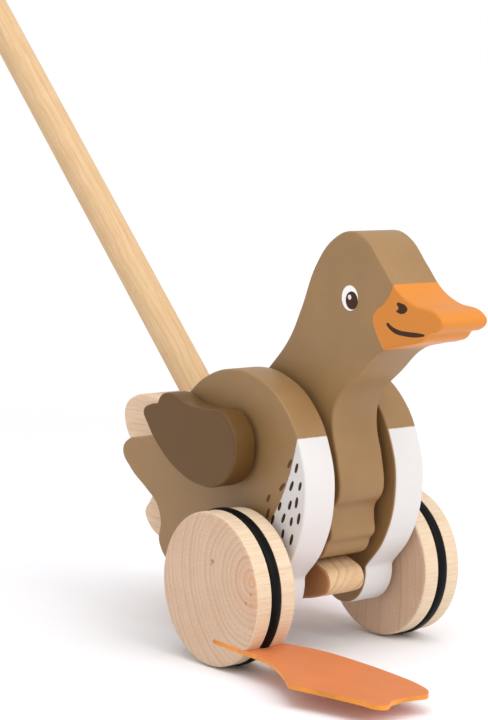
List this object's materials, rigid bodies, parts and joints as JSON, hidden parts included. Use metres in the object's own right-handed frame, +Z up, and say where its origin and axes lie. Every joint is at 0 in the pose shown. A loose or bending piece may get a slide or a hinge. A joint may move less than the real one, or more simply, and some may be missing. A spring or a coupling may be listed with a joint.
{
  "type": "wooden push-along goose toy on a stick",
  "caption": "Wooden goose on wheels, pushed by a long stick; a cam on the axle nods its head, and leather feet in the wheels slap the floor.",
  "frame": {"origin": "on the floor, in the middle of the toy's length and width, with the toy standing on its wheels", "axes": "+X forward, the way the beak points; +Y to the goose's left; +Z up"},
  "size_m": [0.5633, 0.152, 0.479],
  "materials": {
    "brown_paint": "satin brown paint, with white, orange and dark print",
    "dark_brown_paint": "satin dark brown paint",
    "bare_wood": "sanded, unpainted",
    "stick_wood": "sanded, unpainted",
    "black_rubber": "smooth black rubber",
    "orange_leather": "orange dyed leather with a cut edge"
  },
  "bodies": {
    "body": {"right_body_side": "brown_paint", "left_body_side": "brown_paint", "tail_core": "bare_wood", "core_dowel_upper": "bare_wood", "core_dowel_lower": "bare_wood", "push_stick": "stick_wood", "grip_ball": "stick_wood", "neck_pivot_dowel": "bare_wood", "right_neck_spacer": "bare_wood", "left_neck_spacer": "bare_wood", "right_wing_pin": "bare_wood", "left_wing_pin": "bare_wood", "right_wing_washer": "bare_wood", "left_wing_washer": "bare_wood", "right_axle_washer": "bare_wood", "left_axle_washer": "bare_wood"},
    "head": {"head_and_neck": "brown_paint"},
    "wheels": {"axle": "bare_wood", "head_cam": "bare_wood", "right_wheel": "bare_wood", "left_wheel": "bare_wood", "right_tread_ring": "black_rubber", "left_tread_ring": "black_rubber"},
    "right_foot": {"right_foot": "orange_leather"},
    "left_foot": {"left_foot": "orange_leather"},
    "right_wing": {"right_wing": "dark_brown_paint"},
    "left_wing": {"left_wing": "dark_brown_paint"}
  },
  "joints": [
    {"name": "axle_spin", "type": "hinge", "parent": "body", "child": "wheels", "pos_m": [0.16075, 0, 0.0358], "axis": [0, 1, 0], "continuous": true},
    {"name": "head_nod", "type": "hinge", "parent": "body", "child": "head", "pos_m": [0.11575, 0, 0.088], "axis": [0, -1, 0], "range_deg": [0, 16]},
    {"name": "right_foot_flap", "type": "hinge", "parent": "wheels", "child": "right_foot", "pos_m": [0.18625, -0.05, 0.0118], "axis": [0, -1, 0], "range_deg": [-3, 40], "stiffness_Nm_per_rad": 0.1, "deforming": ["right_foot"]},
    {"name": "left_foot_flap", "type": "hinge", "parent": "wheels", "child": "left_foot", "pos_m": [0.13525, 0.05, 0.0598], "axis": [0, 1, 0], "range_deg": [-25, 25], "stiffness_Nm_per_rad": 0.1, "deforming": ["left_foot"]},
    {"name": "right_wing_turn", "type": "hinge", "parent": "body", "child": "right_wing", "pos_m": [0.14675, -0.044, 0.097], "axis": [0, 1, 0], "range_deg": [-50, 55]},
    {"name": "left_wing_turn", "type": "hinge", "parent": "body", "child": "left_wing", "pos_m": [0.14675, 0.044, 0.097], "axis": [0, 1, 0], "range_deg": [-50, 55]}
  ]
}
